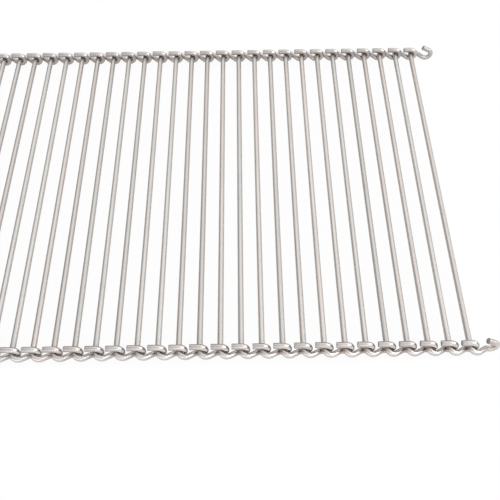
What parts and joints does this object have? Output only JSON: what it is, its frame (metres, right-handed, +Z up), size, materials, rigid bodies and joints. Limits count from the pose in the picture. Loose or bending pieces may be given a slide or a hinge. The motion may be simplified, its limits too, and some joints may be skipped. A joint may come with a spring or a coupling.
{
  "type": "wire ladder conveyor belt",
  "caption": "Flat open conveyor belt of formed steel wire strands, each hooked at both ends round the next strand's straight cross rod so that the belt flexes round rollers.",
  "frame": {"origin": "on the floor under the middle of the belt lying flat", "axes": "+X along the belt, towards the free hooks; +Y across it, along the rods; +Z up"},
  "size_m": [0.31, 0.208, 0.0101],
  "materials": {
    "stainless_wire": "satin"
  },
  "bodies": {
    "strand_01": {"strand_01": "stainless_wire"},
    "strand_02": {"strand_02": "stainless_wire"},
    "strand_03": {"strand_03": "stainless_wire"},
    "strand_04": {"strand_04": "stainless_wire"},
    "strand_05": {"strand_05": "stainless_wire"},
    "strand_06": {"strand_06": "stainless_wire"},
    "strand_07": {"strand_07": "stainless_wire"},
    "strand_08": {"strand_08": "stainless_wire"},
    "strand_09": {"strand_09": "stainless_wire"},
    "strand_10": {"strand_10": "stainless_wire"},
    "strand_11": {"strand_11": "stainless_wire"},
    "strand_12": {"strand_12": "stainless_wire"},
    "strand_13": {"strand_13": "stainless_wire"},
    "strand_14": {"strand_14": "stainless_wire"},
    "strand_15": {"strand_15": "stainless_wire"},
    "strand_16": {"strand_16": "stainless_wire"},
    "strand_17": {"strand_17": "stainless_wire"},
    "strand_18": {"strand_18": "stainless_wire"},
    "strand_19": {"strand_19": "stainless_wire"},
    "strand_20": {"strand_20": "stainless_wire"},
    "strand_21": {"strand_21": "stainless_wire"},
    "strand_22": {"strand_22": "stainless_wire"},
    "strand_23": {"strand_23": "stainless_wire"},
    "strand_24": {"strand_24": "stainless_wire"},
    "strand_25": {"strand_25": "stainless_wire"},
    "strand_26": {"strand_26": "stainless_wire"},
    "strand_27": {"strand_27": "stainless_wire"},
    "strand_28": {"strand_28": "stainless_wire"},
    "strand_29": {"strand_29": "stainless_wire"},
    "strand_30": {"strand_30": "stainless_wire"},
    "strand_31": {"strand_31": "stainless_wire"},
    "strand_32": {"strand_32": "stainless_wire"}
  },
  "joints": [
    {"name": "link_16_17", "type": "hinge", "parent": "strand_16", "child": "strand_17", "pos_m": [-0.00168, 0, 0.00428], "axis": [0, 1, 0], "range_deg": [-80, 80]},
    {"name": "link_17_18", "type": "hinge", "parent": "strand_17", "child": "strand_18", "pos_m": [0.00785, 0, 0.00428], "axis": [0, -1, 0], "range_deg": [-80, 80]},
    {"name": "link_18_19", "type": "hinge", "parent": "strand_18", "child": "strand_19", "pos_m": [0.01737, 0, 0.00428], "axis": [0, 1, 0], "range_deg": [-80, 80]},
    {"name": "link_19_20", "type": "hinge", "parent": "strand_19", "child": "strand_20", "pos_m": [0.0269, 0, 0.00428], "axis": [0, -1, 0], "range_deg": [-80, 80]},
    {"name": "link_20_21", "type": "hinge", "parent": "strand_20", "child": "strand_21", "pos_m": [0.03642, 0, 0.00428], "axis": [0, 1, 0], "range_deg": [-80, 80]},
    {"name": "link_21_22", "type": "hinge", "parent": "strand_21", "child": "strand_22", "pos_m": [0.04595, 0, 0.00428], "axis": [0, -1, 0], "range_deg": [-80, 80]},
    {"name": "link_22_23", "type": "hinge", "parent": "strand_22", "child": "strand_23", "pos_m": [0.05547, 0, 0.00428], "axis": [0, 1, 0], "range_deg": [-80, 80]},
    {"name": "link_23_24", "type": "hinge", "parent": "strand_23", "child": "strand_24", "pos_m": [0.065, 0, 0.00428], "axis": [0, -1, 0], "range_deg": [-80, 80]},
    {"name": "link_24_25", "type": "hinge", "parent": "strand_24", "child": "strand_25", "pos_m": [0.07452, 0, 0.00428], "axis": [0, 1, 0], "range_deg": [-80, 80]},
    {"name": "link_25_26", "type": "hinge", "parent": "strand_25", "child": "strand_26", "pos_m": [0.08405, 0, 0.00428], "axis": [0, -1, 0], "range_deg": [-80, 80]},
    {"name": "link_26_27", "type": "hinge", "parent": "strand_26", "child": "strand_27", "pos_m": [0.09357, 0, 0.00428], "axis": [0, 1, 0], "range_deg": [-80, 80]},
    {"name": "link_27_28", "type": "hinge", "parent": "strand_27", "child": "strand_28", "pos_m": [0.1031, 0, 0.00428], "axis": [0, -1, 0], "range_deg": [-80, 80]},
    {"name": "link_28_29", "type": "hinge", "parent": "strand_28", "child": "strand_29", "pos_m": [0.11262, 0, 0.00428], "axis": [0, 1, 0], "range_deg": [-80, 80]},
    {"name": "link_29_30", "type": "hinge", "parent": "strand_29", "child": "strand_30", "pos_m": [0.12215, 0, 0.00428], "axis": [0, -1, 0], "range_deg": [-80, 80]},
    {"name": "link_30_31", "type": "hinge", "parent": "strand_30", "child": "strand_31", "pos_m": [0.13167, 0, 0.00428], "axis": [0, 1, 0], "range_deg": [-80, 80]},
    {"name": "link_31_32", "type": "hinge", "parent": "strand_31", "child": "strand_32", "pos_m": [0.1412, 0, 0.00428], "axis": [0, -1, 0], "range_deg": [-80, 80]},
    {"name": "link_15_16", "type": "hinge", "parent": "strand_16", "child": "strand_15", "pos_m": [-0.0112, 0, 0.00428], "axis": [0, -1, 0], "range_deg": [-80, 80]},
    {"name": "link_14_15", "type": "hinge", "parent": "strand_15", "child": "strand_14", "pos_m": [-0.02073, 0, 0.00428], "axis": [0, 1, 0], "range_deg": [-80, 80]},
    {"name": "link_13_14", "type": "hinge", "parent": "strand_14", "child": "strand_13", "pos_m": [-0.03025, 0, 0.00428], "axis": [0, -1, 0], "range_deg": [-80, 80]},
    {"name": "link_12_13", "type": "hinge", "parent": "strand_13", "child": "strand_12", "pos_m": [-0.03978, 0, 0.00428], "axis": [0, 1, 0], "range_deg": [-80, 80]},
    {"name": "link_11_12", "type": "hinge", "parent": "strand_12", "child": "strand_11", "pos_m": [-0.0493, 0, 0.00428], "axis": [0, -1, 0], "range_deg": [-80, 80]},
    {"name": "link_10_11", "type": "hinge", "parent": "strand_11", "child": "strand_10", "pos_m": [-0.05883, 0, 0.00428], "axis": [0, 1, 0], "range_deg": [-80, 80]},
    {"name": "link_09_10", "type": "hinge", "parent": "strand_10", "child": "strand_09", "pos_m": [-0.06835, 0, 0.00428], "axis": [0, -1, 0], "range_deg": [-80, 80]},
    {"name": "link_08_09", "type": "hinge", "parent": "strand_09", "child": "strand_08", "pos_m": [-0.07788, 0, 0.00428], "axis": [0, 1, 0], "range_deg": [-80, 80]},
    {"name": "link_07_08", "type": "hinge", "parent": "strand_08", "child": "strand_07", "pos_m": [-0.0874, 0, 0.00428], "axis": [0, -1, 0], "range_deg": [-80, 80]},
    {"name": "link_06_07", "type": "hinge", "parent": "strand_07", "child": "strand_06", "pos_m": [-0.09693, 0, 0.00428], "axis": [0, 1, 0], "range_deg": [-80, 80]},
    {"name": "link_05_06", "type": "hinge", "parent": "strand_06", "child": "strand_05", "pos_m": [-0.10645, 0, 0.00428], "axis": [0, -1, 0], "range_deg": [-80, 80]},
    {"name": "link_04_05", "type": "hinge", "parent": "strand_05", "child": "strand_04", "pos_m": [-0.11598, 0, 0.00428], "axis": [0, 1, 0], "range_deg": [-80, 80]},
    {"name": "link_03_04", "type": "hinge", "parent": "strand_04", "child": "strand_03", "pos_m": [-0.1255, 0, 0.00428], "axis": [0, -1, 0], "range_deg": [-80, 80]},
    {"name": "link_02_03", "type": "hinge", "parent": "strand_03", "child": "strand_02", "pos_m": [-0.13503, 0, 0.00428], "axis": [0, 1, 0], "range_deg": [-80, 80]},
    {"name": "link_01_02", "type": "hinge", "parent": "strand_02", "child": "strand_01", "pos_m": [-0.14455, 0, 0.00428], "axis": [0, -1, 0], "range_deg": [-97.73, 62.27]}
  ]
}
